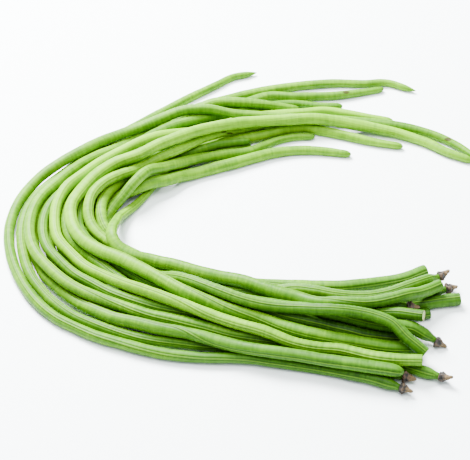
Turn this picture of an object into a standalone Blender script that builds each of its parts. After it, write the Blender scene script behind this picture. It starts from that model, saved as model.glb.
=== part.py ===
"""A bunch of fresh yardlong beans, folded once into a U and laid on a table.

Every pod is one closed tube. It starts as a hand-drawn route across the table, with a layer
in the heap at each point. The pods are then let down onto the table and onto each other, as
stiff rods that keep their length and cannot pass through one another. The routes were read in
a view from 45 degrees up in front, so a pod that comes to rest lower than drawn moves back by
as much, along its line of sight. Where a pod kept its dried calyx and stalk, that is a small
brown piece seated on its stem end.
"""

from dataclasses import dataclass

import bpy
import numpy as np

MM = 0.001

# Driving dimensions, in millimetres
POD_RADIUS = 3.85
GAP = 0.3
LAYER_HEIGHT = 10.0
TAPER_LENGTH = 90.0
TIP_GIRTH = 0.62
TAPER_POWER = 0.65
STEM_SWELL_LENGTH = 45.0
STEM_GIRTH = 1.06
BULGE = 0.012
BULGE_TURN = 2.4
BULGE_START = 50.0

# How finely a pod is cut: points along it, and flat sides round it
NODES = 36
SIDES = 8

# How an end is shaped: rings as (place, share), then the place of the closing point. Places are
# counted outwards from the end of the route, and both are in radii of the pod there.
END_SHAPES = {
    "cut": ([(0.0, 1.0), (0.22, 0.93)], 0.33),
    "blunt": ([(0.0, 1.0), (0.45, 0.86), (0.8, 0.52)], 0.94),
    "stalk": ([(-1.4, 0.98), (-0.5, 0.86), (0.1, 0.66)], 0.22),
    "beak": ([(-2.6, 0.92), (-1.3, 0.64), (-0.2, 0.4), (0.55, 0.24)], 0.95),
}

# The dried calyx and its stub of stalk: distance from its start, and radius
STALK_PROFILE = [(0.4, 1.9), (1.5, 2.6), (3.4, 2.1), (5.6, 1.15), (8.0, 0.95)]
STALK_END = 8.5

# Corners this close to the table lie flat on it
PRESSED = 0.2

# Colours, from the shaded pods to the pale ones
DEEP_GREEN = (0.24, 0.47, 0.06)
PALE_GREEN = (0.46, 0.70, 0.16)
POD_ROUGHNESS = 0.45
STALK_BROWN = (0.20, 0.12, 0.06)
STALK_ROUGHNESS = 0.85


@dataclass
class Pod:
    """One pod: its route is (x, y, layer) in millimetres from the stem end to the tip."""

    route: list
    girth: float = 1.0
    stem: str = "cut"
    tip: str = "blunt"
    taper: float = TAPER_LENGTH
    shade: float = 0.5
    stalk_turn: tuple = (0.0, 0.0)


PODS = [
    # The outermost pod, on the table in front, over the next two at the far side
    Pod([(99.5, -128, 0), (87.5, -120.5, 0), (77, -116.5, 0), (64.5, -113, 0), (52.5, -110, 0),
         (40, -107, 0), (28, -104.5, 0), (16.5, -104, 0), (-3, -106, 0), (-21.5, -106.5, 0),
         (-34, -105.5, 0), (-53, -101, 0), (-71.5, -95, 0), (-86.5, -89.5, 0), (-100.5, -82, 0),
         (-113.5, -73.5, 0), (-123.5, -63.5, 0), (-131.5, -51.5, 0), (-138.5, -38.5, 0),
         (-145.5, -18, 0), (-147.5, -6, 0), (-148, 5.5, 0), (-147.5, 18, 0), (-143, 38, 0),
         (-133, 54.5, 0), (-120.5, 67.5, 0), (-107.5, 80, 0), (-94, 91, 0.1), (-80.5, 98.5, 0.3),
         (-66.5, 103.5, 0.6), (-53, 108.5, 0.9), (-39, 112.5, 1), (-25, 113, 1.1), (-10.5, 113.5, 1.1),
         (3.5, 112, 1.1), (17.5, 112, 1), (32, 111, 1), (44.5, 111, 1)],
        girth=0.95, stem="stalk", shade=0.5),
    # Inside it, with the thin tip that points up on its own
    Pod([(102, -121, 0.1), (89, -117.5, 0), (65, -110.5, 0), (40.5, -104.5, 0), (15.5, -99.5, 0),
         (-3, -97, 0), (-22, -96.5, 0), (-40.5, -94, 0), (-53, -92.5, 0), (-66, -89, 0), (-78.5, -84, 0),
         (-91.5, -77, 0), (-104.5, -70, 0), (-115, -62.5, 0), (-127, -47.5, 0), (-135.5, -29.5, 0),
         (-140.5, -8.5, 0), (-142, 5.5, 0), (-142, 18, 0), (-137.5, 36.5, 0), (-127, 53.5, 0),
         (-108, 74.5, 0), (-95, 88.5, 0), (-81.5, 100.5, 0), (-67.5, 113.5, 0), (-54, 126, 0),
         (-40, 138, 0), (-25.5, 149, 0), (-11, 159.5, 0), (0, 167.5, 0), (14, 172, 0)],
        girth=0.94, stem="stalk", tip="beak", taper=130.0, shade=0.55),
    # The blunt stem end in front of the heap
    Pod([(99, -125.5, 0.9), (76, -122, 1), (64, -120, 1), (52, -117, 1), (39.5, -114.5, 1),
         (27.5, -112.5, 1), (15.5, -110, 1), (3, -106.5, 1), (-9, -103, 1), (-21.5, -99.5, 1),
         (-34, -95, 1), (-46.5, -91, 1), (-59, -85.5, 1), (-72, -80, 0.9), (-85, -71.5, 0.7),
         (-95, -65, 0.5), (-105.5, -57, 0.3), (-114.5, -48, 0.2), (-122.5, -38, 0.1), (-128.5, -26, 0),
         (-133, -15, 0), (-136, -4, 0), (-131, 10, 0), (-124, 30, 0), (-112, 47, 0), (-92, 65, 0),
         (-69, 83, 0), (-45, 105, 0.2), (-21.5, 126, 0.7), (3.5, 128.5, 0.8), (18, 128, 0.7),
         (32, 126.5, 0.5), (45, 125.5, 0.2)],
        girth=1.05, stem="blunt", shade=0.5),
    # The foremost calyx at the right, and the hooked tip at the far right
    Pod([(123.5, -123, 0), (108.5, -119, 0), (89.5, -113.5, 0), (65, -105.5, 0), (40.5, -99.5, 0.3),
         (21.5, -98, 0.8), (9.5, -96, 1), (-3, -93.5, 1), (-15.5, -90, 1), (-28, -85.5, 1),
         (-40.5, -82, 1), (-53, -78.5, 1), (-66, -75, 1), (-80.5, -69, 1), (-96.5, -61.5, 1),
         (-109, -52, 1), (-120, -39.5, 1), (-128, -26.5, 1), (-132, -14, 1), (-133, -2.5, 1),
         (-132.5, 9.5, 1), (-127, 26.5, 1), (-116.5, 40, 1), (-104, 57, 0.8), (-91.5, 72.5, 0.6),
         (-78.5, 86, 0.3), (-38, 122, 0), (-15, 134, 0), (11, 146.5, 0), (25.5, 150.5, 0),
         (40, 153.5, 0), (55, 155.5, 0.1), (69.5, 156, 0.3), (83.5, 155.5, 0.6), (98, 154.5, 0.7),
         (113, 156, 0.5), (130.5, 150.5, 0)],
        girth=0.98, stem="stalk", tip="beak", taper=150.0, shade=0.65, stalk_turn=(0.0, 0.4)),
    # A thin one, under the bright one
    Pod([(121.5, -67.5, 0.1), (95, -73, 0), (80, -79, 0), (60, -86, 0), (41, -91, 0), (20, -92, 0.3),
         (0, -87, 0.8), (-22, -79, 1), (-37.5, -75, 1), (-60, -68.5, 1), (-73, -63.5, 1), (-88, -55, 1),
         (-102.5, -45.5, 1), (-114.5, -33, 1), (-123.5, -19.5, 0.9), (-127.5, 0, 0.9), (-124.5, 21, 0.9),
         (-115.5, 37, 0.9), (-94, 59, 0.9), (-66, 82, 0.8), (-38, 104, 0.5), (-8, 122, 0.1),
         (20, 132, 0), (40, 136, 0), (61.5, 134, 0), (76, 134.5, 0)],
        girth=0.9, shade=0.35),
    # The bright one on top of the bend, with the lower of the two cut ends in front
    Pod([(113.5, -117.5, 1), (100.5, -117.5, 1), (88.5, -116, 1), (76.5, -113.5, 1), (64.5, -111, 1.1),
         (52, -111, 1.4), (39.5, -110.5, 1.7), (27.5, -107.5, 2), (15.5, -103.5, 2.1), (3, -98, 2.1),
         (-9, -91, 2.1), (-21.5, -85.5, 2.1), (-34, -80.5, 2.1), (-46.5, -75, 2.1), (-59.5, -69, 2.1),
         (-72.5, -62.5, 2.1), (-85.5, -54, 2.1), (-97, -46.5, 2.1), (-107, -35.5, 2), (-115, -25, 2),
         (-118.5, -13, 2), (-119.5, -0.5, 2), (-115.5, 16, 2), (-110, 26.5, 2), (-102, 35.5, 2),
         (-89.5, 51, 2), (-77, 64, 2), (-65.5, 75, 1.9), (-52, 87, 1.7), (-38.5, 97, 1.3),
         (-24.5, 103.5, 1), (10.5, 113.5, 0.6), (46.5, 120.5, 0.3), (61, 125.5, 0), (75.5, 125, 0),
         (89.5, 121.5, 0), (103.5, 117, 0), (110.5, 115, 0)],
        girth=1.0, shade=0.9),
    # Below the wide one, its tip beyond the others at the right
    Pod([(117, -76.5, 0), (88, -77, 0), (60, -78, 0), (30, -77, 0), (10, -76, 0.3), (-12, -71, 0.8),
         (-35, -62.5, 1), (-47.5, -58, 1.1), (-60.5, -51.5, 1.2), (-73, -43, 1.2), (-92, -30, 1.2),
         (-103, -18, 1.1), (-109, -7.5, 1.1), (-111, 14.5, 1), (-104, 33.5, 1), (-92, 49, 1),
         (-70, 68, 1), (-42, 85, 1), (-12, 99, 0.6), (20, 108, 0.1), (53.5, 117.5, 0), (75, 115.5, 0),
         (89, 113, 0), (103, 111, 0), (117.5, 110, 0), (138, 103, 0), (151.5, 95, 0), (164.5, 82.5, 0),
         (168, 78, 0)],
        girth=0.96, shade=0.45),
    # The wide pale one, from the upper cut end in front to the tip at the far right
    Pod([(113, -108, 1.2), (101, -109, 1.2), (88.5, -109, 1.3), (76.5, -109, 1.5), (64, -107.5, 1.7),
         (52, -106.5, 2), (39.5, -104.5, 2.2), (27.5, -100.5, 2.4), (15.5, -94.5, 2.4), (3, -89, 2.4),
         (-9.5, -82, 2.4), (-22, -75, 2.4), (-34.5, -67.5, 2.4), (-47, -60.5, 2.3), (-60, -52.5, 2.2),
         (-74.5, -42.5, 2.2), (-94.5, -30.5, 2.2), (-102, -21, 2.2), (-107.5, -9.5, 2.2),
         (-108.5, 7.5, 2.2), (-103, 21, 2.2), (-97, 31, 2.2), (-84, 43.5, 2.2), (-64.5, 53.5, 2.2),
         (-51.5, 66, 2.1), (-38, 76, 1.9), (-24.5, 85.5, 1.6), (-10.5, 95, 1.3), (3.5, 101, 1.1),
         (24.5, 106, 0.9), (46, 108, 0.8), (67, 108, 0.8), (85, 106.5, 0.8), (102, 102.5, 0.8),
         (116, 98.5, 0.7), (130, 93.5, 0.6), (143, 84.5, 0.4), (158.5, 77.5, 0), (164.5, 76, 0)],
        girth=1.1, shade=0.8),
    # Along the back edge of the near branch, the innermost at the bend
    Pod([(130, -58.5, 1.4), (113, -68, 1.5), (90.5, -75, 1.7), (78, -78, 1.8), (65.5, -80.5, 1.9),
         (53, -79, 1.9), (40.5, -74, 1.9), (28, -70, 1.9), (15.5, -64, 1.8), (3, -56, 1.4),
         (-9.5, -49.5, 1.2), (-22.5, -44.5, 1.1), (-35.5, -39.5, 1.1), (-55, -32, 1.1), (-69, -25, 1),
         (-80.5, -9.5, 0.5), (-83, 2.5, 0.1), (-79.5, 18.5, 0), (-70.5, 31, 0), (-63.5, 44, 0),
         (-59, 55.5, 0)],
        girth=1.04, shade=0.5),
    # The stem end with the calyx turned up, under the wide one and inside it at the bend
    Pod([(131, -50.5, 1.3), (116, -57.5, 1.2), (98, -63, 1.1), (85.5, -64.5, 1.1), (72.5, -64, 1),
         (60, -62.5, 0.9), (47.5, -59.5, 0.7), (35, -56.5, 0.5), (22.5, -54, 0.2), (9.5, -51.5, 0),
         (-9.5, -49, 0), (-29, -42.5, 0), (-45.5, -39, 0.2), (-58, -37, 0.7), (-73, -28, 1.1),
         (-86.5, -14, 1.1), (-96, 2, 1.1), (-97, 21, 1.1), (-91.5, 33, 1.2), (-82.5, 42, 1.4),
         (-65, 57.5, 1.3), (-55, 65, 1.2), (-45, 72, 1.1), (-31.5, 81, 0.9), (-17.5, 89, 0.8),
         (-3.5, 96.5, 0.6), (10.5, 103, 0.4), (20.5, 106.5, 0.3)],
        girth=0.97, stem="stalk", shade=0.6, stalk_turn=(0.0, 0.4)),
    # The one that arcs over the others at the stem end
    Pod([(118.5, -113, 0.4), (107.5, -111, 2.9), (95.5, -102.5, 3), (79, -96, 2.9), (67.5, -93, 2.7),
         (52, -90.5, 2.6), (40, -87.5, 2.5), (28, -84.5, 2.4), (15.5, -80.5, 2.2), (3, -75, 1.9),
         (-9.5, -67, 1.4), (-33, -54, 0.8), (-59, -45, 0), (-79, -29, 0), (-89.5, -6, 0), (-91.5, 10, 0),
         (-86, 26, 0.3), (-74.5, 34.5, 0.9), (-58, 52, 0.9), (-44.5, 60, 1), (-31, 66, 1.1),
         (-17, 69.5, 1.3), (-3.5, 71.5, 1.4), (10.5, 72.5, 1.5), (20.5, 77.5, 1.5), (31, 83.5, 1.4),
         (42, 88.5, 1.3), (54.5, 92.5, 1.2)],
        girth=0.98, shade=0.45),
    # Below the arc, with the drooping calyx, the lowest pale one at the far side
    Pod([(123.5, -96.5, 0.4), (112, -90.5, 0.6), (96.5, -87.5, 0.8), (84.5, -84.5, 0.9), (65.5, -82, 1),
         (47, -79, 1.1), (22, -71, 1.1), (-2, -67, 0.5), (-20, -65, 0), (-38, -61, 0), (-60, -53, 0),
         (-87, -29, 0), (-98, -7, 0), (-100, 7, 0), (-96, 20, 0), (-86, 32, 0), (-71, 35.5, 0.7),
         (-51, 44.5, 0.7), (-38, 54.5, 0.2), (-24, 61.5, 0.1), (-10.5, 68, 0), (3.5, 74, 0),
         (17.5, 80, 0), (31.5, 84, 0), (45.5, 86.5, 0), (59.5, 85.5, 0), (79, 82.5, 0)],
        girth=1.06, stem="stalk", shade=0.7),
    # The rearmost stem end, which crosses under the one before it and lies outside it at the bend
    Pod([(123, -35.5, 0.3), (110, -41, 0.2), (87, -44, 0), (67.5, -46, 0), (48.5, -46, 0), (32, -46, 0),
         (16, -46, 0), (3, -45, 0), (-9.5, -42, 0), (-22.5, -38, 0), (-36, -33, 0), (-55.5, -26, 0),
         (-73.5, -16.5, 0), (-85.5, -4, 0.2), (-90, 12.5, 1), (-88, 29, 1), (-79.5, 42.5, 1),
         (-65, 57, 0.9), (-55, 64.5, 0.8), (-42, 78.5, 0.3), (-24.5, 89, 0), (-7, 95.5, 0.2),
         (10.5, 102.5, 0.1), (28.5, 108.5, 0), (42.5, 110.5, 0), (60.5, 106, 0), (81.5, 100, 0),
         (102, 94, 0), (116, 91, 0)],
        girth=1.0, shade=0.6),
    # The dark stem end in front of the longest, to the far tip with the brown mark
    Pod([(108.5, -69, 0.8), (91.5, -71.5, 0.7), (72, -74, 0.5), (41, -81, 0.3), (0, -84, 0),
         (-34, -85, 0), (-67, -75, 0), (-95, -57, 0), (-115, -31, 0), (-123, -5, 0), (-122, 15, 0),
         (-110, 36, 0), (-90, 55, 0), (-64, 74, 0), (-40, 97, 0), (-15, 121, 0), (8, 134, 0),
         (18, 144.5, 0), (32.5, 143.5, 0), (47, 144, 0), (61.5, 144.5, 0), (83.5, 146, 0.1),
         (101, 149.5, 0.3), (107, 150, 0.4)],
        girth=0.95, stem="stalk", shade=0.35),
    # The dark one that ends under the arc in front, and dives under the wide one
    Pod([(104.5, -97.5, 0.8), (83.5, -94.5, 1), (71.5, -91.5, 1), (59, -88.5, 1), (47, -85.5, 1),
         (34.5, -81.5, 1), (22, -77.5, 1), (9.5, -71.5, 0.9), (-3, -65.5, 0.7), (-19, -59, 0.3),
         (-36, -53, 0), (-62, -45, 0), (-87, -28, 0.8), (-102, -8, 1), (-105.5, 9, 1), (-101.5, 27, 1),
         (-90, 44, 1), (-69, 59, 1), (-40, 71, 1), (-15, 84, 0.7), (8, 92, 0.3)],
        girth=0.98, shade=0.3),
    # The stem end with a calyx below the innermost, lowest in the heap
    Pod([(134.5, -55.5, 0.6), (116.5, -61.5, 0.5), (105, -63.5, 0.4), (92.5, -63.5, 0.2), (80, -61, 0.1),
         (41, -61, 0), (0, -61, 0), (-34, -69, 0), (-62, -60, 0), (-88, -39, 0), (-103, -13, 0),
         (-107, 8, 0), (-101, 28, 0), (-85, 46, 0), (-60, 58, 0), (-38, 70, 0), (-12, 83, 0),
         (10, 91, 0)],
        girth=0.98, stem="stalk", shade=0.4),
    # The longest stem end at the right
    Pod([(142.5, -59, 0.1), (124.5, -61, 0), (92, -65, 0), (60, -69, 0), (30, -69, 0), (0, -70, 0),
         (-34, -77, 0), (-64, -67, 0), (-91, -47, 0), (-109, -21, 0), (-115, 3, 0), (-112, 23, 0),
         (-100, 42, 0), (-78, 60, 0), (-50, 75, 0), (-20, 92, 0), (10, 103, 0)],
        girth=1.03, shade=0.45),
]

# How the pods are let down: the steps of falling, then the steps that only part them
SETTLE_STEPS = 420
SEPARATING_STEPS = 400
FALL = 0.12
HOLD = 0.05
STIFFNESS = 0.5
STRETCH = 0.25
PUSH = 0.45
PUSHES_PER_STEP = 3
PARTING_GAP = 0.32
NEIGHBOUR_REACH = 9.0
PAIR_REFRESH = 8

# Samples on a drawn route before it is read at equal lengths
CURVE_SAMPLES = 1600


def spaced_along(points, count):
    """A smooth curve through the points, read at `count` places an equal length apart."""
    points = np.array(points, dtype=float)
    steps = np.sqrt(np.linalg.norm(np.diff(points, axis=0), axis=1))
    knots = np.concatenate([[0.0], np.cumsum(steps)])
    slopes = np.gradient(points, knots, axis=0)
    fine = np.linspace(0.0, knots[-1], CURVE_SAMPLES)
    span = np.clip(np.searchsorted(knots, fine, side="right") - 1, 0, len(knots) - 2)
    width = (knots[span + 1] - knots[span])[:, None]
    t = (fine - knots[span])[:, None] / width
    curve = ((2 * t**3 - 3 * t**2 + 1) * points[span] + (t**3 - 2 * t**2 + t) * width * slopes[span]
             + (3 * t**2 - 2 * t**3) * points[span + 1] + (t**3 - t**2) * width * slopes[span + 1])
    run = np.concatenate([[0.0], np.cumsum(np.linalg.norm(np.diff(curve, axis=0), axis=1))])
    places = np.linspace(0.0, run[-1], count)
    return np.stack([np.interp(places, run, curve[:, axis]) for axis in range(points.shape[1])], axis=1)


def pod_radii(pod, centres):
    """Full girth in the middle, a slight swell at the stem, a long taper to the tip, soft bulges."""
    run = np.concatenate([[0.0], np.cumsum(np.linalg.norm(np.diff(centres, axis=0), axis=1))])
    to_tip = run[-1] - run
    taper = TIP_GIRTH + (1 - TIP_GIRTH) * np.clip(to_tip / pod.taper, 0, 1) ** TAPER_POWER
    swell = 1 + (STEM_GIRTH - 1) * np.clip(1 - run / STEM_SWELL_LENGTH, 0, 1)
    bulges = 1 + BULGE * np.sin(BULGE_TURN * np.arange(len(run)) + BULGE_START * pod.girth)
    return POD_RADIUS * pod.girth * taper * swell * bulges


def laid_out():
    """Every pod's centre points before they are let down, and their radii."""
    centres = []
    radii = []
    for pod in PODS:
        line = spaced_along(pod.route, NODES)
        thickness = pod_radii(pod, line[:, :2])
        line[:, 2] = thickness + LAYER_HEIGHT * np.maximum(line[:, 2], 0.0)
        centres.append(line)
        radii.append(thickness)
    return np.array(centres), np.array(radii)


def near_pairs(centres, radii):
    """Pairs of stretches, of two different pods, that are close enough to touch soon."""
    middles = 0.5 * (centres[:, 1:] + centres[:, :-1])
    reach = 0.5 * np.linalg.norm(centres[:, 1:] - centres[:, :-1], axis=2) + radii[:, 1:]
    count, stretches = reach.shape
    middles = middles.reshape(-1, 3)
    reach = reach.ravel()
    owner = np.repeat(np.arange(count), stretches)
    apart = np.linalg.norm(middles[:, None] - middles[None, :], axis=2)
    close = (apart < reach[:, None] + reach[None, :] + NEIGHBOUR_REACH) & (owner[:, None] < owner[None, :])
    first, second = np.nonzero(close)
    start = np.arange(count * stretches) + owner
    return start[first], start[second]


def closest(points, first, second):
    """Where two straight stretches come nearest: the share along each, and the vector between."""
    p0, p1 = points[first], points[first + 1]
    q0, q1 = points[second], points[second + 1]
    d1, d2, r = p1 - p0, q1 - q0, p0 - q0
    a, e, f = (d1 * d1).sum(1), (d2 * d2).sum(1), (d2 * r).sum(1)
    b, c = (d1 * d2).sum(1), (d1 * r).sum(1)
    s = np.clip((b * f - c * e) / np.maximum(a * e - b * b, 1e-6), 0, 1)
    t = np.clip((b * s + f) / e, 0, 1)
    s = np.clip((b * t - c) / a, 0, 1)
    between = (p0 + s[:, None] * d1) - (q0 + t[:, None] * d2)
    return s, t, between


def clearance(centres, radii, first, second):
    """The room left between two stretches, with what a push needs."""
    points = centres.reshape(-1, 3)
    thick = radii.ravel()
    s, t, between = closest(points, first, second)
    distance = np.linalg.norm(between, axis=1)
    needed = (thick[first] * (1 - s) + thick[first + 1] * s
              + thick[second] * (1 - t) + thick[second + 1] * t)
    return s, t, between / np.maximum(distance, 1e-6)[:, None], distance - needed


def push_apart(centres, radii, pairs, gap):
    """Moves the ends of stretches that are closer than the gap, each by its part of the push."""
    first, second = pairs
    s, t, way, room = clearance(centres, radii, first, second)
    short = np.maximum(gap - room, 0.0)
    touching = short > 0
    first, second, s, t, way, short = (v[touching] for v in (first, second, s, t, way, short))
    force = PUSH * short / ((1 - s) ** 2 + s**2 + (1 - t) ** 2 + t**2)
    moved = np.zeros((centres.shape[0] * centres.shape[1], 3))
    for places, weight in ((first, 1 - s), (first + 1, s), (second, t - 1), (second + 1, -t)):
        for axis in range(3):
            moved[:, axis] += np.bincount(places, weight * force * way[:, axis], len(moved))
    return centres + moved.reshape(centres.shape)


def stiffened(offset, strength):
    """Takes the sharp kinks out of a row of offsets, as a stiff rod would."""
    inner_turn = offset[:, 2:] - 2 * offset[:, 1:-1] + offset[:, :-2]
    nothing = np.zeros_like(offset[:, :2])
    around = np.concatenate([nothing, inner_turn, nothing], axis=1)
    bend = around[:, 2:] - 2 * around[:, 1:-1] + around[:, :-2]
    return offset - strength * bend / 8


def keep_length(centres, spacing):
    """Pulls neighbouring points of a pod back to their spacing."""
    step = centres[:, 1:] - centres[:, :-1]
    length = np.linalg.norm(step, axis=2)
    fix = STRETCH * ((length - spacing) / length)[..., None] * step
    centres = centres.copy()
    centres[:, :-1] += fix
    centres[:, 1:] -= fix
    return centres


def settled(centres, radii):
    """Lets the pods down: they fall, rest on the table and on each other, and stay stiff.

    A gentle hold draws each point back to its line of sight, the sum of its y and its height.
    """
    drawn = centres.copy()
    sight = drawn[..., 1] + drawn[..., 2]
    drawn[..., 2] = 0
    spacing = np.linalg.norm(drawn[:, 1:] - drawn[:, :-1], axis=2)
    lowest = radii * np.cos(np.pi / SIDES)
    for step in range(SETTLE_STEPS + SEPARATING_STEPS):
        if step % PAIR_REFRESH == 0:
            pairs = near_pairs(centres, radii)
        falling = step < SETTLE_STEPS
        if falling:
            centres[..., 2] -= FALL
            centres[..., 0] += HOLD * (drawn[..., 0] - centres[..., 0])
            centres[..., 1] += HOLD * (sight - centres[..., 2] - centres[..., 1])
            centres = drawn + stiffened(centres - drawn, STIFFNESS)
            centres = keep_length(centres, spacing)
        for _ in range(PUSHES_PER_STEP):
            centres = push_apart(centres, radii, pairs, GAP if falling else PARTING_GAP)
            centres[..., 2] = np.maximum(centres[..., 2], lowest)
    first, second = near_pairs(centres, radii)
    room = clearance(centres, radii, first, second)[3].min()
    print(f"least room between two pods: {room:.3f} mm")
    return centres, radii


def frame_along(centres):
    """For each point: the direction of the pod, its level side and its upper side."""
    along = np.gradient(centres, axis=0)
    along /= np.linalg.norm(along, axis=1)[:, None]
    side = np.cross(along, [0.0, 0.0, 1.0])
    side /= np.linalg.norm(side, axis=1)[:, None]
    upper = np.cross(side, along)
    return along, side, upper


def ring_vertices(centres, radii):
    """Rings of corners round the centres, with a flat side down, pressed onto the table."""
    along, side, upper = frame_along(centres)
    angles = (np.arange(SIDES) + 0.5) * 2 * np.pi / SIDES - np.pi / 2
    round_about = (np.cos(angles)[None, :, None] * side[:, None, :]
                   + np.sin(angles)[None, :, None] * upper[:, None, :])
    rings = centres[:, None, :] + radii[:, None, None] * round_about
    rings[..., 2] = np.where(rings[..., 2] < PRESSED, 0.0, rings[..., 2])
    return rings


def end_rings(end, before, radius, shape):
    """The rings that shape one end, from the inside out, and its closing point."""
    outward = (end - before) / np.linalg.norm(end - before)
    profile, closing = END_SHAPES[shape]
    places, shares = np.array(profile).T
    return end + outward * places[:, None] * radius, shares * radius, end + outward * closing * radius


def pod_tube(pod, line, thick):
    """Rings and closing points of a pod: its settled line, with both ends shaped."""
    stem, stem_radii, start = end_rings(line[0], line[1], thick[0], pod.stem)
    tip, tip_radii, end = end_rings(line[-1], line[-2], thick[-1], pod.tip)
    centres = np.concatenate([stem[::-1], line[1:-1], tip])
    radii = np.concatenate([stem_radii[::-1], thick[1:-1], tip_radii])
    return ring_vertices(centres, radii), start, end


def stalk_tube(pod, line, thick):
    """Rings and closing points of the dried calyx and stalk, just clear of the pod's stem end."""
    along, side, upper = frame_along(line)
    base = end_rings(line[0], line[1], thick[0], pod.stem)[2] - along[0] * GAP
    sideways, upwards = pod.stalk_turn
    turn = sideways * side[0] + upwards * upper[0]
    distances, radii = np.array(STALK_PROFILE).T
    reached = np.append(distances, STALK_END)[:, None]
    centres = base - along[0] * reached + turn * reached**2 / STALK_END
    return ring_vertices(centres[:-1], radii), base, centres[-1]


def closed_tube(name, tube, shift, material):
    """A mesh object from rings of corners and the two points that close its ends."""
    rings, start, end = tube
    count = len(rings)
    vertices = np.concatenate([rings.reshape(-1, 3), [start, end]]) + shift
    first_end = count * SIDES
    faces = []
    for ring in range(count - 1):
        for corner in range(SIDES):
            a = ring * SIDES + corner
            b = ring * SIDES + (corner + 1) % SIDES
            faces.append((a, a + SIDES, b + SIDES, b))
    for corner in range(SIDES):
        after = (corner + 1) % SIDES
        last = (count - 1) * SIDES
        faces.append((first_end, corner, after))
        faces.append((first_end + 1, last + after, last + corner))
    mesh = bpy.data.meshes.new(name)
    mesh.from_pydata((vertices * MM).tolist(), [], faces)
    mesh.materials.append(material)
    solid = bpy.data.objects.new(name, mesh)
    bpy.context.collection.objects.link(solid)
    return solid


def plain_material(name, colour, roughness):
    material = bpy.data.materials.new(name)
    material.use_nodes = True
    shader = material.node_tree.nodes["Principled BSDF"]
    shader.inputs["Base Color"].default_value = (*colour, 1.0)
    shader.inputs["Roughness"].default_value = roughness
    shader.inputs["Metallic"].default_value = 0.0
    return material


def pod_green(shade):
    """A green between the deep and the pale one."""
    return tuple(deep + shade * (pale - deep) for deep, pale in zip(DEEP_GREEN, PALE_GREEN))


def to_origin(tubes):
    """The shift that puts the middle of the whole bunch's box over the origin."""
    corners = np.concatenate([rings.reshape(-1, 3) for rings, start, end in tubes])
    middle = 0.5 * (corners.min(axis=0) + corners.max(axis=0))
    return np.array([-middle[0], -middle[1], 0.0])


def clear():
    for thing in list(bpy.data.objects):
        bpy.data.objects.remove(thing, do_unlink=True)


def build():
    clear()
    centres, radii = settled(*laid_out())
    pods = [pod_tube(*one) for one in zip(PODS, centres, radii)]
    stalks = {number: stalk_tube(*one) for number, one in enumerate(zip(PODS, centres, radii), start=1)
              if one[0].stem == "stalk"}
    shift = to_origin(pods + list(stalks.values()))
    print(f"shifted by {shift.round(3)} mm")
    for number, (pod, tube) in enumerate(zip(PODS, pods), start=1):
        green = plain_material(f"bean_green_{number:02d}", pod_green(pod.shade), POD_ROUGHNESS)
        closed_tube(f"pod_{number:02d}", tube, shift, green)
    for number, tube in stalks.items():
        brown = plain_material(f"dried_calyx_{number:02d}", STALK_BROWN, STALK_ROUGHNESS)
        closed_tube(f"stalk_{number:02d}", tube, shift, brown)
    return centres, radii


build()
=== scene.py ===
# %% [markdown]
# # A bunch of yardlong beans
#
# The imported model gives each pod as a tube of flat facets, at its real size and in its real place
# in the heap. This script grows a finer skin round every one of those tubes: the seams, the
# wrinkles, the swellings over the seeds, the cut or withered ends, and the greens.
#
# The first cell loads that model.

from dataclasses import dataclass
from math import atan, cos, pi, radians, sin

import bpy
import numpy as np
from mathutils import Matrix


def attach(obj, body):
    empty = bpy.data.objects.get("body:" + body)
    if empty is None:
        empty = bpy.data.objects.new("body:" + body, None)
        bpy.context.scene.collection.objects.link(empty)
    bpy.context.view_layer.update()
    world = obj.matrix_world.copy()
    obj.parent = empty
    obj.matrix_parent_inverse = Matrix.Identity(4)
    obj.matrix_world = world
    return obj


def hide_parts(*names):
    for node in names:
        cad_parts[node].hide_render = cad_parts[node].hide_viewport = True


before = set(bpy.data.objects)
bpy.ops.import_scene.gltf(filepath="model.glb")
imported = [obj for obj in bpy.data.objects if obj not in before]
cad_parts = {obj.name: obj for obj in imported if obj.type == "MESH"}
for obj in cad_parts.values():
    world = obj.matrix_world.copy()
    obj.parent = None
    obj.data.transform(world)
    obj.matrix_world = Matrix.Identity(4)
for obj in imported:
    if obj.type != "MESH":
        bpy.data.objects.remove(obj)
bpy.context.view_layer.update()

# %% [markdown]
# ## The camera
#
# The photograph looks down on the table at about 45 degrees, from a little over a metre away. A
# camera needs a place, a direction and a focal length. The focal length is counted here in
# pixels of the picture, which a photograph gives directly: the lens turns a metre at a metre's
# distance into that many pixels. Blender wants millimetres on a sensor 36 mm wide, and one
# division changes one into the other. The lens points a little above the place on the table
# that it is measured from, which slides the bunch down in the picture with no shift of the lens.

# %% Camera
MM = 0.001
PICTURE_WIDTH = 470
SENSOR_WIDTH = 36.0
FOCAL_PIXELS = 1651.8
CAMERA_DISTANCE = 1.1
CAMERA_RISE = radians(45)
TABLE_POINT = np.array([-0.00863, -0.0194, 0.0])
RAISED_PIXELS = 10


def add_camera():
    """A camera above the near edge of the table, looking along +Y and down."""
    data = bpy.data.cameras.new("camera")
    data.sensor_width = SENSOR_WIDTH
    data.lens = FOCAL_PIXELS * SENSOR_WIDTH / PICTURE_WIDTH
    camera = bpy.data.objects.new("camera", data)
    bpy.context.scene.collection.objects.link(camera)
    back = np.array([0.0, -cos(CAMERA_RISE), sin(CAMERA_RISE)])
    camera.location = TABLE_POINT + back * CAMERA_DISTANCE
    looking_down = CAMERA_RISE - atan(RAISED_PIXELS / FOCAL_PIXELS)
    camera.rotation_euler = (pi / 2 - looking_down, 0.0, 0.0)
    bpy.context.scene.camera = camera
    return camera


camera = add_camera()
print("camera at", tuple(round(c, 3) for c in camera.location), "lens", round(camera.data.lens, 1))

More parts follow.
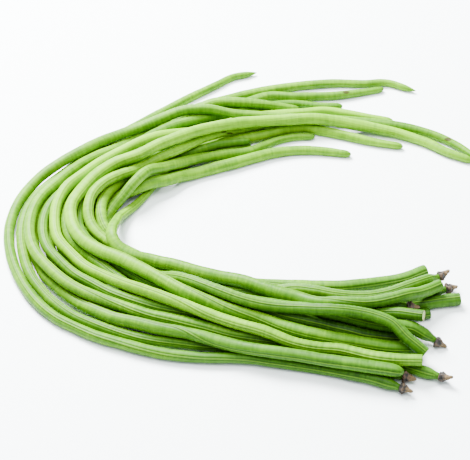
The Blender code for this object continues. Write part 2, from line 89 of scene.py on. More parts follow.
# %% [markdown]
# ## Shader maths as Python
#
# A material is a net of nodes, and most of them only add, multiply or compare. Placing each one
# by hand hides the idea. Here a small class wraps one output of a node and gives it Python's
# operators, so that `1 - mask * 0.5` adds the two Math nodes by itself. Any other node comes from
# its `add` method, and colours are blended with Mix nodes, because a Math node would turn a
# colour grey.

# %% A socket that can be calculated with
class Wire:
    """One output socket of a node tree, with the operators of ordinary numbers."""

    def __init__(self, tree, socket=None):
        self.tree = tree
        self.socket = socket

    def plug(self, target, value):
        """Links a wire to an input socket, or sets the socket to a plain value."""
        if isinstance(value, Wire):
            self.tree.links.new(value.socket, target)
        else:
            target.default_value = value

    def add(self, kind, settings=None, inputs=None, output=0):
        """Adds a node of any type: first its settings, then values or links for its inputs."""
        node = self.tree.nodes.new(kind)
        for name, value in (settings or {}).items():
            setattr(node, name, value)
        for name, value in (inputs or {}).items():
            self.plug(node.inputs[name], value)
        return Wire(self.tree, node.outputs[output])

    def maths(self, operation, first, second=0.0, third=0.0):
        return self.add("ShaderNodeMath", {"operation": operation}, {0: first, 1: second, 2: third})

    def __add__(self, other):
        return self.maths("ADD", self, other)

    def __mul__(self, other):
        return self.maths("MULTIPLY", self, other)

    def __sub__(self, other):
        return self.maths("SUBTRACT", self, other)

    def __rsub__(self, other):
        return self.maths("SUBTRACT", other, self)

    __radd__ = __add__
    __rmul__ = __mul__

    def step(self, low, high):
        """Zero below `low`, one above `high`, and a smooth rise between them."""
        inputs = {"Value": self, "From Min": low, "From Max": high}
        return self.add("ShaderNodeMapRange", {"interpolation_type": "SMOOTHSTEP"}, inputs)

    def colour(self, first, second):
        """Blends from the first colour to the second by this wire's value."""
        return self.add("ShaderNodeMix", {"data_type": "RGBA"}, {0: self, 6: first, 7: second}, 2)

    def scaled(self, factors):
        """This wire as a vector, multiplied axis by axis."""
        return self.add("ShaderNodeVectorMath", {"operation": "MULTIPLY"}, {0: self, 1: factors})


def new_material(name):
    """An empty material: its tree as a wire to start from, and its Principled shader."""
    material = bpy.data.materials.new(name)
    material.use_nodes = True
    tree = material.node_tree
    return material, Wire(tree), tree.nodes["Principled BSDF"]


def rgb(red, green, blue):
    return (red, green, blue, 1.0)


print("shader maths is ready")

# %% [markdown]
# ## The table and the light
#
# The bunch lies on a plain pale table in soft daylight. A very large lamp behind and to the left
# gives the long soft gloss on each pod and the faint shadow in front of the heap. A pale world
# fills in the rest, so that the gaps between the pods are dark only where little sky reaches.

# %% Table and lamps
TABLE_SIZE = 6.0
TABLE_DROP = 0.1 * MM
TABLE_COLOUR = rgb(0.86, 0.93, 0.94)
SKY_COLOUR = rgb(0.93, 0.98, 1.0)
SKY_STRENGTH = 0.95
LAMPS = [
    ("window", (-0.45, 0.75, 1.0), 0.6, 200.0),
    ("ceiling", (0.1, -0.1, 1.6), 1.2, 60.0),
]


def add_table():
    half = TABLE_SIZE / 2
    corners = [(-half, -half, -TABLE_DROP), (half, -half, -TABLE_DROP),
               (half, half, -TABLE_DROP), (-half, half, -TABLE_DROP)]
    mesh = bpy.data.meshes.new("table")
    mesh.from_pydata(corners, [], [(0, 1, 2, 3)])
    table = bpy.data.objects.new("table", mesh)
    bpy.context.scene.collection.objects.link(table)
    material, tree, shader = new_material("table_top")
    shader.inputs["Base Color"].default_value = TABLE_COLOUR
    shader.inputs["Roughness"].default_value = 0.6
    mesh.materials.append(material)


def add_lamp(name, place, size, power):
    """A square lamp that faces the middle of the table."""
    data = bpy.data.lights.new(name, "AREA")
    data.size = size
    data.energy = power
    lamp = bpy.data.objects.new(name, data)
    lamp.location = place
    lamp.rotation_euler = (-lamp.location).to_track_quat("-Z", "Y").to_euler()
    bpy.context.scene.collection.objects.link(lamp)


def add_sky():
    world = bpy.data.worlds.new("sky")
    world.use_nodes = True
    background = world.node_tree.nodes["Background"]
    background.inputs["Color"].default_value = SKY_COLOUR
    background.inputs["Strength"].default_value = SKY_STRENGTH
    bpy.context.scene.world = world


add_table()
add_sky()
for lamp in LAMPS:
    add_lamp(*lamp)
print("lamps:", [lamp[0] for lamp in LAMPS])

# %% [markdown]
# ## Reading a pod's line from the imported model
#
# Each packed pod is a chain of rings of eight corners, closed by one point at each end. The finer
# skin has to follow exactly that line. It could be typed in again as numbers, but then the two
# would drift apart with every change. It is better read back from the mesh: from a closing point,
# the next corners that triangles lead to are the first ring, the next ones the second ring, and
# so on to the other end.

# %% Rings of a packed pod
RING_CORNERS = 8
MERGE_DECIMALS = 6


def merged(node):
    """The node's corners, with those in one place made one, and its triangles as rows of three."""
    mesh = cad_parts[node].data
    places = np.empty(len(mesh.vertices) * 3)
    mesh.vertices.foreach_get("co", places)
    mesh.calc_loop_triangles()
    triangles = np.empty(len(mesh.loop_triangles) * 3, dtype=int)
    mesh.loop_triangles.foreach_get("vertices", triangles)
    rounded = np.round(places.reshape(-1, 3), MERGE_DECIMALS)
    corners, index = np.unique(rounded, axis=0, return_inverse=True)
    return corners, index.ravel()[triangles].reshape(-1, 3)


def walk(neighbours, start):
    """Steps outwards from one corner: a list of the corners first reached at each step."""
    seen = np.zeros(len(neighbours), dtype=bool)
    front = seen.copy()
    front[start] = True
    steps = []
    while front.any():
        steps.append(np.flatnonzero(front))
        seen |= front
        front = neighbours[front].any(axis=0) & ~seen
    return steps


def pod_rings(node):
    """Middles and radii of a pod's rings from the stem end to the tip; the end points have none."""
    corners, triangles = merged(node)
    neighbours = np.zeros((len(corners), len(corners)), dtype=bool)
    for a, b in ((0, 1), (1, 2), (2, 0)):
        neighbours[triangles[:, a], triangles[:, b]] = True
        neighbours[triangles[:, b], triangles[:, a]] = True
    for end in np.flatnonzero(neighbours.sum(axis=0) == RING_CORNERS):
        steps = walk(neighbours, end)
        sizes = [len(step) for step in steps]
        if sizes == [1] + [RING_CORNERS] * (len(sizes) - 2) + [1]:
            break
    middles = np.array([corners[step].mean(axis=0) for step in steps])
    radii = np.array([np.linalg.norm(corners[step] - middle, axis=1).mean()
                      for step, middle in zip(steps, middles)])
    if middles[0, 1] > middles[-1, 1]:
        middles, radii = middles[::-1], radii[::-1]
    return middles, radii


rings = {node: pod_rings(node) for node in sorted(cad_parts) if node.startswith("pod_")}
print("rings in each pod:", [len(middles) for middles, radii in rings.values()])

# %% [markdown]
# ## What makes one pod differ from the next
#
# All pods are made by the same formulas. What differs is written down once in a table: how pale
# the pod is, how its two ends look, where its seam lies when one looks along the pod from the
# stem, and the stretch in which the pod twists, with how far. `flat` is how oval it is, and
# `kink` is how far its line strays, in millimetres. Angles are counted from the top of
# the pod, and a positive one leans to the right of somebody who walks from the stem to the tip.
# In the near branch, the seam that faces the camera is therefore at about -45 degrees.

# %% The pods' own looks
@dataclass
class Look:
    stem: str = "cut"
    tip: str = "round"
    shade: float = 0.5
    seam: float = -45.0
    turn: float = 60.0
    twist_at: float = 0.15
    twist_length: float = 0.15
    flat: float = 0.03
    kink: float = 0.6


LOOKS = {
    "pod_01": Look("neck", shade=0.45, seam=-60, turn=50, twist_at=0.10, twist_length=0.2),
    "pod_02": Look("neck", "beak", shade=0.45, seam=-40, turn=40, twist_at=0.15, twist_length=0.1),
    "pod_03": Look("blunt", shade=0.5, seam=-75, turn=85, twist_at=0.115, twist_length=0.035),
    "pod_04": Look("neck", "beak", shade=0.55, seam=-50, turn=70, twist_at=0.15, twist_length=0.15),
    "pod_05": Look("cut", shade=0.3, seam=-60, turn=70),
    "pod_06": Look("cut", shade=1.0, seam=-42, turn=50, twist_at=0.13, twist_length=0.04, flat=0.07),
    "pod_07": Look("cut", shade=0.4, seam=-20, turn=40),
    "pod_08": Look("cut", shade=0.8, seam=-80, turn=120, twist_at=0.07, twist_length=0.12, flat=0.06),
    "pod_09": Look("cut", shade=0.6, seam=-38, turn=85, twist_at=0.055, twist_length=0.05, flat=0.08),
    "pod_10": Look("neck", shade=0.75, seam=-15, turn=60),
    "pod_11": Look("cut", shade=0.5, seam=-20, turn=30),
    "pod_12": Look("neck", shade=0.55, seam=-45, turn=60),
    "pod_13": Look("cut", shade=0.7, seam=-60, turn=50, twist_at=0.05, twist_length=0.1),
    "pod_14": Look("neck", shade=0.4, seam=-60, turn=60),
    # pod_15 is deep green partly as its own colour and partly as painted shade where it lies low at
    # the bend
    "pod_15": Look("cut", shade=0.2, seam=-45, turn=50),
    "pod_16": Look("neck", shade=0.3, seam=-60, turn=60),
    "pod_17": Look("cut", shade=0.45, seam=-10, turn=60),
}
print("looks for", len(LOOKS), "pods")

# %% [markdown]
# ## A smooth line through the rings
#
# The rings are about 15 mm apart. A curve that passes through all of them without corners comes
# from cubic pieces that share their slopes. It is then read at equal steps of length, because
# wrinkles and seeds are spaced along the pod's own length.

# %% Smooth lines
ROW_STEP = 1.0 * MM
CURVE_SAMPLES = 4000
END_ZONE = 11 * MM


def through(knots, values, at):
    """Cubic pieces with shared slopes, value = h00 p0 + h10 m0 + h01 p1 + h11 m1, read at `at`."""
    slopes = np.gradient(values, knots, axis=0)
    piece = np.clip(np.searchsorted(knots, at, side="right") - 1, 0, len(knots) - 2)
    width = (knots[piece + 1] - knots[piece])[:, None]
    t = (at - knots[piece])[:, None] / width
    return ((2 * t**3 - 3 * t**2 + 1) * values[piece] + (t**3 - 2 * t**2 + t) * width * slopes[piece]
            + (3 * t**2 - 2 * t**3) * values[piece + 1] + (t**3 - t**2) * width * slopes[piece + 1])


def length_along(points):
    """Distance from the first point, counted along the line."""
    return np.concatenate([[0.0], np.cumsum(np.linalg.norm(np.diff(points, axis=0), axis=1))])


class Line:
    """A pod's middle line: its length, and its place, directions and body radius at any distance."""

    def __init__(self, middles, radii):
        knots = length_along(middles)
        fine = through(knots, middles, np.linspace(0, knots[-1], CURVE_SAMPLES))
        self.reached = length_along(fine)
        self.points = fine
        self.length = self.reached[-1]
        body = (knots > END_ZONE) & (knots < knots[-1] - END_ZONE)
        self.body_at = knots[body] * self.length / knots[-1]
        self.body_radius = radii[body]

    def at(self, distance):
        axes = [np.interp(distance, self.reached, self.points[:, axis]) for axis in range(3)]
        return np.stack(axes, axis=1)

    def radius(self, distance):
        """The body's radius, running on at the same slope over the shaped ends."""
        inside = np.interp(distance, self.body_at, self.body_radius)
        slope = (self.body_radius[-1] - self.body_radius[-2]) / (self.body_at[-1] - self.body_at[-2])
        return inside + slope * np.maximum(distance - self.body_at[-1], 0)

    def directions(self, distance):
        """Along the pod, level to its right, and up from it, each of length one."""
        reach = 2 * ROW_STEP
        ahead = self.at(np.minimum(distance + reach, self.length))
        behind = self.at(np.maximum(distance - reach, 0.0))
        along = ahead - behind
        along /= np.linalg.norm(along, axis=1)[:, None]
        side = np.cross(along, [0.0, 0.0, 1.0])
        side /= np.linalg.norm(side, axis=1)[:, None]
        return along, side, np.cross(side, along)


lines = {node: Line(*pair) for node, pair in rings.items()}
print("lengths in mm:", {node[-2:]: round(line.length / MM) for node, line in lines.items()})

# %% [markdown]
# ## The ends
#
# A pod's skin is a grid: rows along it, columns round it. At an end the rows crowd together and
# their radius falls to nothing. Each kind of end is a short list of rows, given as the distance
# from the very end and the share of the pod's radius there. A round tip is a quarter of an
# ellipse, a beak is a quarter wave that leaves a fine point, a cut is a nearly flat disc with a
# sharp rim, and a neck narrows to where the withered calyx sits.

# %% Rows of the two ends
def round_end(radius):
    """A quarter ellipse: share = sin(a), distance = reach (1 - cos(a))."""
    angle = np.linspace(0, pi / 2, 10)[1:]
    return 2.0 * radius * (1 - np.cos(angle)), np.sin(angle)


def beak_end(radius):
    """Share = 0.09 + 0.91 sin(90 degrees x t) to the power 0.9, over t from 0 to 1 of the reach."""
    t = np.array([0.0, 0.01, 0.04, 0.08, 0.14, 0.21, 0.3, 0.4, 0.52, 0.65, 0.8, 1.0])
    share = 0.09 + 0.91 * np.sin(pi / 2 * t) ** 0.9
    share[0] = 0.05
    return t * 4.6 * radius, share


def cut_end(radius):
    """A disc with a low middle and a rim that rolls over within half a millimetre."""
    distance = np.array([0.45, 0.4, 0.3, 0.12, 0.0, 0.04, 0.2, 0.6, 1.4, 3.0]) * MM
    share = np.array([0.12, 0.35, 0.6, 0.8, 0.9, 0.96, 0.985, 0.99, 0.985, 1.0])
    return distance, share


def neck_end(radius):
    """Share = 0.55 + 0.45 (3t^2 - 2t^3), a soft shoulder, closed by a small disc."""
    t = np.linspace(0, 1, 12)
    disc = np.array([0.2, 0.4])
    share = 0.55 + 0.45 * (3 * t**2 - 2 * t**3)
    return np.concatenate([np.zeros(2), t * 2.0 * radius]), np.concatenate([disc, share])


ENDS = {"round": round_end, "beak": beak_end, "cut": cut_end, "neck": neck_end, "blunt": round_end}


def rows_of(line, look):
    """Distance along the pod, share of the radius and distance from each end for all the rows."""
    stem_at, stem_share = ENDS[look.stem](line.radius(np.array([0.0]))[0])
    tip_at, tip_share = ENDS[look.tip](line.radius(np.array([line.length]))[0])
    tip_at = line.length - tip_at[::-1]
    body = np.arange(stem_at.max() + ROW_STEP, tip_at.min() - ROW_STEP / 2, ROW_STEP)
    distance = np.concatenate([stem_at, body, tip_at])
    share = np.concatenate([stem_share, np.ones(len(body)), tip_share[::-1]])
    return distance, share


print("rows:", sum(len(rows_of(lines[node], look)[0]) for node, look in LOOKS.items()))

# %% [markdown]
# ## The skin
#
# Round the pod, the skin is not a plain circle. Two seams run its whole length, on opposite
# sides, where the two halves of the pod join. Each is a low ridge with a fine groove on either
# side, and they fade towards the tip, where the skin is smoother. Between the seams the skin
# swells a little over each seed and is dented, folded and wrinkled at random. All of it is a
# change of the radius, so it can be added up as one formula on the grid. Two things move the grid
# itself: the seams twist round the pod over one stretch of it, and the pod's line has small
# kinks, because no pod grows quite straight.
#
# A few pods have a brown scar. It is given by where the camera sees it, so it needs one place to
# the right and one along the slope of the picture, which is backwards plus upwards.
#
# Random but smooth values come from a lattice of random numbers, blended between its points. The
# lattice joins up with itself round the pod, so there is no line where it starts.

# %% Surface relief
COLUMNS = 44
CROWDING = 0.5
FULL_BODY = 0.6

SEED_STEP = 17 * MM
SEED_RISE = 0.03
DENT_STEP = 22 * MM
DENT_RISE = 0.03
DIMPLE_STEP = 6 * MM
DIMPLE_RISE = 0.012

RIDGE_HEIGHT = 0.12 * MM
RIDGE_WIDTH = 0.32 * MM
GROOVE_DEPTH = 0.24 * MM
GROOVE_PLACE = 0.75 * MM
GROOVE_WIDTH = 0.30 * MM
CALM_FROM = 0.22
CALM_LENGTH = 0.12
CALM_SHARE = 0.8

WRINKLE_STEP = 1.5 * MM
WRINKLE_HEIGHT = 0.13 * MM
WRINKLED_STEP = 45 * MM
FOLD_STEP = 30 * MM
FOLD_DEPTH = 0.30 * MM

WANDER_STEP = 60 * MM
WANDER_DEGREES = 14
KINK_STEP = 26 * MM
KINK_UPWARDS = 0.6

SCAR_SIZE = 1.3 * MM
SCAR_STRETCH = 1.8
# Pod number, place to the right, and place backwards plus upwards, in millimetres.
SCARS = [(7, 141.6, 81.0), (10, -12.0, 85.5), (10, -17.0, 88.5), (14, 72.0, 132.5)]


def smooth_noise(seed, along, turns, cell, around):
    """Random numbers every `cell` metres along and `around` times per turn, blended by 3t^2-2t^3."""
    dice = np.random.default_rng(seed)
    lattice = dice.uniform(-1, 1, (int(along.max() / cell) + 3, around))
    row = np.floor(along / cell).astype(int)
    t = along / cell - row
    t = (t * t * (3 - 2 * t))[:, None]
    strips = lattice[row] * (1 - t) + lattice[row + 1] * t
    place = (turns % 1.0) * around
    column = np.floor(place).astype(int) % around
    f = place - np.floor(place)
    f = f * f * (3 - 2 * f)
    return strips[:, column] * (1 - f) + strips[:, (column + 1) % around] * f


def bell(distance, width):
    """A hump of height one: exp(-(distance / width)^2)."""
    return np.exp(-(distance / width) ** 2)


def column_angles():
    """Angle of each column from the seam: u - crowding / 2 x sin(2u), crowded at both seams."""
    u = np.arange(COLUMNS) * 2 * pi / COLUMNS
    return u - CROWDING / 2 * np.sin(2 * u)


def swelling(number, look, distance, angle):
    """Share of the radius that is added: oval x cos(2a) + seeds x sin(a)^2 + two random dents."""
    turns = angle / (2 * pi)
    oval = look.flat * np.cos(2 * angle)[None, :]
    seeds = 0.5 + 0.5 * np.cos(2 * pi * distance / SEED_STEP + number)[:, None]
    seeds = SEED_RISE * seeds * np.sin(angle)[None, :] ** 2
    dents = DENT_RISE * smooth_noise(number, distance, turns, DENT_STEP, 3)
    dents += DIMPLE_RISE * smooth_noise(number + 50, distance, turns, DIMPLE_STEP, 7)
    return oval + seeds + dents


def fading(distance):
    """How strong seams and wrinkles are: one near the stem, and a fifth from the far side on."""
    return 1 - CALM_SHARE * np.clip((distance - CALM_FROM) / CALM_LENGTH, 0, 1)[:, None]


def seam_lines(distance, radius, angle):
    """Ridge and groove from 0 to 1: bells over the distance to the nearer seam, times the fading."""
    gap = np.minimum(angle, 2 * pi - angle)
    gap = np.minimum(gap, pi - gap)[None, :] * radius[:, None]
    ridge = bell(gap, RIDGE_WIDTH)
    groove = bell(gap - GROOVE_PLACE, GROOVE_WIDTH)
    return ridge * fading(distance), groove * fading(distance)


def relief(number, distance, angle, ridge, groove):
    """Height in metres over the swollen tube: ridge - grooves + wrinkles - folds."""
    turns = angle / (2 * pi)
    wrinkles = smooth_noise(number + 100, distance, turns, WRINKLE_STEP, 4)
    folds = smooth_noise(number + 250, distance, turns, FOLD_STEP, 5)
    patches = smooth_noise(number + 220, distance, turns, WRINKLED_STEP, 2)
    wrinkled = 0.35 + 0.65 * np.clip(1.5 * patches, 0, 1)
    height = RIDGE_HEIGHT * ridge - GROOVE_DEPTH * groove
    height = height + WRINKLE_HEIGHT * wrinkles * wrinkled * fading(distance)
    return height - FOLD_DEPTH * np.clip(folds, 0, 1)


def seam_direction(number, look, distance):
    """Angle of the seam from the top of the pod: start + turn x (3t^2 - 2t^3) + a slow wander."""
    wander = smooth_noise(number + 150, distance, np.zeros(1), WANDER_STEP, 1)[:, 0]
    t = np.clip((distance - look.twist_at) / look.twist_length, 0, 1)
    return np.radians(look.seam + look.turn * t * t * (3 - 2 * t) + WANDER_DEGREES * wander)


def kinked(number, line, look, distance, side, upper):
    """The middle line moved sideways and upwards at random, less and less towards both ends."""
    sway = [smooth_noise(number + 200 + 7 * n, distance, np.zeros(1), KINK_STEP, 1) for n in range(2)]
    from_end = np.minimum(distance, line.length - distance)
    reach = look.kink * MM * np.clip(from_end / KINK_STEP, 0, 1)[:, None]
    return line.at(distance) + reach * (sway[0] * side + KINK_UPWARDS * sway[1] * upper)


def scars(number, vertices, upwards):
    """One in a brown mark of this pod and zero elsewhere, on the upper half of the skin only."""
    marked = np.zeros(vertices.shape[:2])
    for pod, right, back_and_up in SCARS:
        if pod == number:
            off_right = vertices[..., 0] - right * MM
            off_up = (vertices[..., 1] + vertices[..., 2] - back_and_up * MM) / 2**0.5
            marked += bell(np.hypot(off_right / SCAR_STRETCH, off_up), SCAR_SIZE) * (upwards > 0)
    return marked


def around_line(place, radius, theta, upper, side):
    """Place + radius x cos(theta) x up + radius x sin(theta) x right, pressed flat on the table."""
    vertices = (place[:, None, :] + (radius * np.cos(theta))[..., None] * upper[:, None, :]
                + (radius * np.sin(theta))[..., None] * side[:, None, :])
    vertices[..., 2] = np.maximum(vertices[..., 2], 0.0)
    return vertices


def pulled_straight(radius, angle, along):
    """The place of each point on a pod with no bends, for the patterns of the material."""
    x, y, z = np.broadcast_arrays(radius * np.cos(angle), radius * np.sin(angle), along[:, None])
    return np.stack([x, y, z], axis=-1)


def pod_surface(number, line, look):
    """Vertices of the grid, their places on a straight pod, and what the material wants to know.

    Radius = body x share x (1 + swelling) + relief, and both fade where an end narrows."""
    distance, share = rows_of(line, look)
    angle = column_angles()
    radius = line.radius(distance) * share
    body = (share > FULL_BODY)[:, None] * np.clip(share, 0, 1)[:, None]
    ridge, groove = seam_lines(distance, radius, angle)
    around = radius[:, None] * (1 + swelling(number, look, distance, angle) * body)
    around = around + relief(number, distance, angle, ridge, groove) * body
    theta = seam_direction(number, look, distance)[:, None] + angle[None, :]
    along, side, upper = line.directions(distance)
    place = kinked(number, line, look, distance, side, upper)
    vertices = around_line(place, around, theta, upper, side)
    known = {
        "ridge": ridge * body,
        "groove": groove * body,
        "from_stem": np.broadcast_to(distance[:, None], around.shape),
        "from_tip": np.broadcast_to(line.length - distance[:, None], around.shape),
        "share": np.broadcast_to(share[:, None], around.shape),
        "shade": np.full(around.shape, look.shade),
        "sliced": np.full(around.shape, float(look.stem == "cut")),
        "scar": scars(number, vertices, np.cos(theta)),
    }
    return vertices, pulled_straight(radius[:, None], angle, distance + number), known


number_of_points = sum(pod_surface(n, lines[node], look)[0][..., 0].size
                       for n, (node, look) in enumerate(LOOKS.items(), start=1))
print("points on all skins:", number_of_points)

# %% [markdown]
# ## From grid to mesh
#
# A grid that closes round the pod becomes quads between neighbouring rows and columns, and one
# extra point at each end closes it with triangles. What the material needs, such as the distance
# from the stem, is stored on the points as attributes, so that the colour can follow the pod
# along its bends.

# %% Mesh maker
def grid_faces(rows, columns):
    """Quads between rows, with the last column joined to the first, and a fan at each end."""
    row, column = np.meshgrid(np.arange(rows - 1), np.arange(columns), indexing="ij")
    a = (row * columns + column).ravel()
    b = (row * columns + (column + 1) % columns).ravel()
    quads = np.stack([a, b, b + columns, a + columns], axis=1)
    ring = np.arange(columns)
    after = (ring + 1) % columns
    last = (rows - 1) * columns
    first_fan = np.stack([np.full(columns, rows * columns), after, ring], axis=1)
    last_fan = np.stack([np.full(columns, rows * columns + 1), last + ring, last + after], axis=1)
    return quads.tolist() + first_fan.tolist() + last_fan.tolist()


def volume(points, faces):
    """Six times the signed volume, from the first three corners of every face and its last ones."""
    triangles = [face[:3] for face in faces]
    triangles += [[face[0], face[2], face[3]] for face in faces if len(face) == 4]
    a, b, c = points[np.array(triangles)].transpose(1, 0, 2)
    return np.einsum("ij,ij->", a, np.cross(b, c))


def add_skin(name, vertices, straight, known, ends, material):
    """A smooth closed mesh object from a grid of points and the two points that close it."""
    rows, columns, _ = vertices.shape
    points = np.concatenate([vertices.reshape(-1, 3), ends])
    faces = grid_faces(rows, columns)
    if volume(points, faces) < 0:
        faces = [face[::-1] for face in faces]
    mesh = bpy.data.meshes.new(name)
    mesh.from_pydata(points.tolist(), [], faces)
    end_rows = [0, -1]
    for label, values in known.items():
        layer = mesh.attributes.new(label, "FLOAT", "POINT")
        full = np.concatenate([values.ravel(), [values[row].mean() for row in end_rows]])
        layer.data.foreach_set("value", full)
    layer = mesh.attributes.new("straight", "FLOAT_VECTOR", "POINT")
    full = np.concatenate([straight.reshape(-1, 3), [straight[row].mean(axis=0) for row in end_rows]])
    layer.data.foreach_set("vector", full.ravel())
    mesh.materials.append(material)
    mesh.shade_smooth()
    piece = bpy.data.objects.new(name, mesh)
    bpy.context.scene.collection.objects.link(piece)
    return piece


print("faces of a grid of 3 by 4:", len(grid_faces(3, 4)))

# %% [markdown]
# ## The green of the skin
#
# Fresh pods are a yellow-green that deepens towards the stem. Fine pale streaks run along them,
# the ridge of each seam is paler, its grooves are darkened with painted shade, and the skin has a
# faint mottle. The wrinkles add painted light and shade: paler where the bump raises them and
# darker in their creases. The noise textures read the pod as if it were pulled straight, so
# streaks follow every bend. The cut face is pale with a brown rim, the very tip is a duller green,
# and a scar is brown with a ragged edge that comes from the mottle.
#
# One number, the tone, decides how deep or pale the green is at each point. Everything that
# changes the green is added to it, each with its own weight.

# %% Pod skin material
DEEP_GREEN = rgb(0.008, 0.036, 0.0006)
MIDDLE_GREEN = rgb(0.036, 0.122, 0.001)
PALE_GREEN = rgb(0.150, 0.350, 0.0003)
SEAM_PALE = rgb(0.15, 0.31, 0.006)
# painted shade laid into the grooves beside each seam
GROOVE_PAINTED_SHADE = rgb(0.004, 0.020, 0.001)
CUT_PALE = rgb(0.26, 0.36, 0.08)
CUT_BROWN = rgb(0.12, 0.09, 0.025)
SCAR_BROWN = rgb(0.022, 0.013, 0.003)

# How fast each pattern changes across the pod, across it again, and along it, per metre
STREAK_RATE = (520, 520, 16)
MOTTLE_RATE = (150, 150, 60)
WRINKLE_RATE = (110, 110, 620)

# How much each thing adds to the tone, and what the tone starts from
TONE_OF_SHADE = 0.5
TONE_OF_RIPENING = 0.28
TONE_OF_STREAKS = 0.4
TONE_OF_MOTTLE = 0.35
# painted light and shade on the wrinkles: paler on the tops that the bump raises, darker in the
# creases
TONE_OF_WRINKLE_SHADING = 0.4
TONE_START = 0.53
RIPE_FROM_STEM = 0.28

SKIN_ROUGHNESS = 0.40
SKIN_SPECULAR = 0.12


def known_value(tree, name):
    """A number that was stored on the points of the mesh."""
    return tree.add("ShaderNodeAttribute", {"attribute_name": name}, output=2)


def texture(tree, vector, scale, detail=3.0, roughness=0.55):
    """Noise from 0 to 1, read at the vector times a scale for each axis."""
    inputs = {"Vector": vector.scaled(scale), "Scale": 1.0, "Detail": detail, "Roughness": roughness}
    return tree.add("ShaderNodeTexNoise", {"noise_dimensions": "3D"}, inputs)


def known_place(tree):
    """The place of the point on a pod that is pulled straight."""
    return tree.add("ShaderNodeAttribute", {"attribute_name": "straight"}, output=1)


def green_of(tree, tone):
    """The skin's green from deep to pale, with paler seams, painted shade in the grooves and a duller
    tip.
    """
    duller = 1 - known_value(tree, "from_tip").step(0.001, 0.009)
    green = tone.step(0.0, 0.45).colour(DEEP_GREEN, MIDDLE_GREEN)
    green = tone.step(0.35, 0.95).colour(green, PALE_GREEN)
    green = (known_value(tree, "ridge") * 0.35).colour(green, SEAM_PALE)
    # painted shade: the grooves beside each seam are darkened
    green = (known_value(tree, "groove") * 0.75).colour(green, GROOVE_PAINTED_SHADE)
    return (duller * 0.45).colour(green, MIDDLE_GREEN)


def cut_over(tree, surface):
    """Lays the pale cut face with its brown rim over the colour, at the very stem end."""
    share = known_value(tree, "share")
    at_end = 1 - known_value(tree, "from_stem").step(0.0005, 0.0012)
    cut = (1 - share.step(0.9, 0.97)) * at_end * known_value(tree, "sliced")
    return cut.colour(surface, share.step(0.55, 0.9).colour(CUT_PALE, CUT_BROWN))


def skin_material():
    """A satin skin: the greens from the tone, then the cut face, then the scars."""
    material, tree, shader = new_material("pod_skin")
    straight = known_place(tree)
    streaks = texture(tree, straight, STREAK_RATE)
    mottle = texture(tree, straight, MOTTLE_RATE)
    wrinkles = texture(tree, straight, WRINKLE_RATE, detail=2.0)
    tone = known_value(tree, "shade") * TONE_OF_SHADE
    tone = tone + known_value(tree, "from_stem").step(0.0, RIPE_FROM_STEM) * TONE_OF_RIPENING
    tone = tone + streaks * TONE_OF_STREAKS + mottle * TONE_OF_MOTTLE
    # the wrinkles add painted light and shade to the tone, matching the bump
    tone = tone + wrinkles * TONE_OF_WRINKLE_SHADING - TONE_START
    surface = cut_over(tree, green_of(tree, tone))
    scar = (known_value(tree, "scar") + mottle * 0.6).step(0.55, 0.95)
    surface = (scar * 0.9).colour(surface, SCAR_BROWN)
    tree.plug(shader.inputs["Base Color"], surface)
    tree.plug(shader.inputs["Roughness"], SKIN_ROUGHNESS + mottle * 0.2)
    shader.inputs["Specular IOR Level"].default_value = SKIN_SPECULAR
    height = wrinkles * 0.9 + streaks * 0.5
    bump = tree.add("ShaderNodeBump", None, {"Strength": 0.7, "Distance": 0.3 * MM, "Height": height})
    tree.plug(shader.inputs["Normal"], bump)
    return material


pod_skin = skin_material()
print("nodes in the skin:", len(pod_skin.node_tree.nodes))

# %% [markdown]
# ## Growing the skins
#
# Each skin takes the place of its plain tube, so the tube is hidden and the skin moves with the
# same body.

# %% Pods
def add_pod(number, node, look):
    line = lines[node]
    vertices, straight, known = pod_surface(number, line, look)
    ends = line.at(np.array([0.0, line.length]))
    if look.stem == "cut":
        ends[0] = vertices[0].mean(axis=0)
    piece = add_skin(f"bean_{number:02d}", vertices, straight, known, ends, pod_skin)
    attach(piece, "root")
    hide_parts(node)
    return piece


pods = [add_pod(number, node, look) for number, (node, look) in enumerate(LOOKS.items(), start=1)]
print("pods:", len(pods), "faces:", sum(len(pod.data.polygons) for pod in pods))

# %% [markdown]
# ## The withered calyx
#
# Where a pod was picked with its stalk, the green cup that once held the flower has dried to a
# dark, crumpled collar, and beyond it a stub of stalk sticks out, tan and split. The shape is the
# same grid round a line, but short: the collar is five crumpled lobes, made by a wave that goes
# five times round, and the stub has fine lengthwise ribs.

# %% Calyx and stalk
CALYX_COLUMNS = 40
CALYX_ROWS = 60
LOBES = 5
LOBE_RISE = 0.16
RIBS = 9
RIB_RISE = 0.05
CRUMPLE_STEP = 1.2 * MM
CRUMPLE_RISE = 0.22


def calyx_profile(t):
    """Radius in mm over t from 0 at the pod to 1 at the stub's end: a collar, a waist, a stub."""
    at = np.array([0.0, 0.06, 0.16, 0.3, 0.45, 0.6, 0.8, 0.93, 1.0])
    radius = np.array([2.6, 3.1, 3.3, 3.0, 2.4, 1.75, 1.2, 0.9, 0.45])
    return through(at, radius[:, None], t)[:, 0] * MM


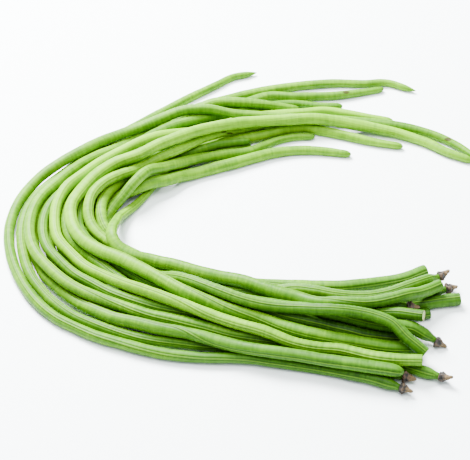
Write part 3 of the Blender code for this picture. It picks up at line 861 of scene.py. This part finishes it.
def calyx_surface(number, node):
    """Radius = profile x (1 + lobes x collar + ribs + crumples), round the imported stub's own line.

    The line starts at its end that is nearer to the pod."""
    middles, _ = pod_rings(node)
    stem = rings[f"pod_{number:02d}"][0][0]
    if np.linalg.norm(middles[0] - stem) > np.linalg.norm(middles[-1] - stem):
        middles = middles[::-1]
    knots = length_along(middles)
    t = np.linspace(0, 1, CALYX_ROWS)
    place = through(knots, middles, t * knots[-1])
    along = np.gradient(place, axis=0)
    along /= np.linalg.norm(along, axis=1)[:, None]
    side = np.cross(along, [0.0, 0.0, 1.0])
    side /= np.linalg.norm(side, axis=1)[:, None]
    upper = np.cross(side, along)
    angle = np.arange(CALYX_COLUMNS) * 2 * pi / CALYX_COLUMNS
    turns = angle / (2 * pi)
    distance = t * knots[-1]
    collar = bell(t - 0.2, 0.16)[:, None]
    lobes = LOBE_RISE * np.cos(LOBES * angle + number)[None, :] * collar
    ribs = RIB_RISE * np.cos(RIBS * angle + 2 * t[:, None] + number)
    crumples = CRUMPLE_RISE * smooth_noise(number + 300, distance, turns, CRUMPLE_STEP, 6)
    radius = calyx_profile(t)[:, None] * (1 + lobes + ribs + crumples)
    vertices = around_line(place, radius, angle, upper, side)
    straight = pulled_straight(radius, angle, distance + number)
    known = {"outwards": np.broadcast_to(t[:, None], radius.shape), "folds": crumples + lobes}
    return vertices, straight, known, middles[[0, -1]]


stalk_nodes = sorted(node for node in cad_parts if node.startswith("stalk_"))
print("stalks:", stalk_nodes)

# %% [markdown]
# ## Dry brown, and seven calyxes
#
# A dried calyx has no gloss at all. Its folds get painted shade, nearly black, in their hollows and
# brown on their tops, so the folds of the shape are stored on the points and choose the colour.
# Outwards it turns to the tan of the stub, whose broken end is dark again.

# %% Calyx material and pieces
CALYX_DARK_AND_FOLD_SHADE = rgb(0.008, 0.006, 0.004)
CALYX_BROWN = rgb(0.045, 0.024, 0.009)
STUB_TAN = rgb(0.09, 0.055, 0.018)
GRAIN_RATE = (900, 900, 260)


def calyx_material():
    """Painted shade, nearly black, in the folds, brown on them, tan towards the stub, and rough all
    over.
    """
    material, tree, shader = new_material("dried_calyx")
    straight = known_place(tree)
    outwards = known_value(tree, "outwards")
    folds = known_value(tree, "folds")
    grain = texture(tree, straight, GRAIN_RATE, detail=4.0)
    # painted shade: the hollows of the folds go nearly black, their tops brown
    brown = (grain + folds * 1.5).step(0.35, 0.75).colour(CALYX_DARK_AND_FOLD_SHADE, CALYX_BROWN)
    tan = (outwards + grain * 0.5 - 0.25).step(0.4, 0.62)
    surface = tan.colour(brown, STUB_TAN)
    surface = (outwards.step(0.93, 1.0) * 0.8).colour(surface, CALYX_DARK_AND_FOLD_SHADE)
    tree.plug(shader.inputs["Base Color"], surface)
    shader.inputs["Roughness"].default_value = 0.8
    bump = tree.add("ShaderNodeBump", None, {"Strength": 0.8, "Distance": 0.3 * MM, "Height": grain})
    tree.plug(shader.inputs["Normal"], bump)
    return material


def add_calyx(node, material):
    number = int(node[-2:])
    piece = add_skin(f"calyx_{number:02d}", *calyx_surface(number, node), material)
    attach(piece, "root")
    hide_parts(node)
    return piece


dried = calyx_material()
calyxes = [add_calyx(node, dried) for node in stalk_nodes]
print("calyxes:", len(calyxes))
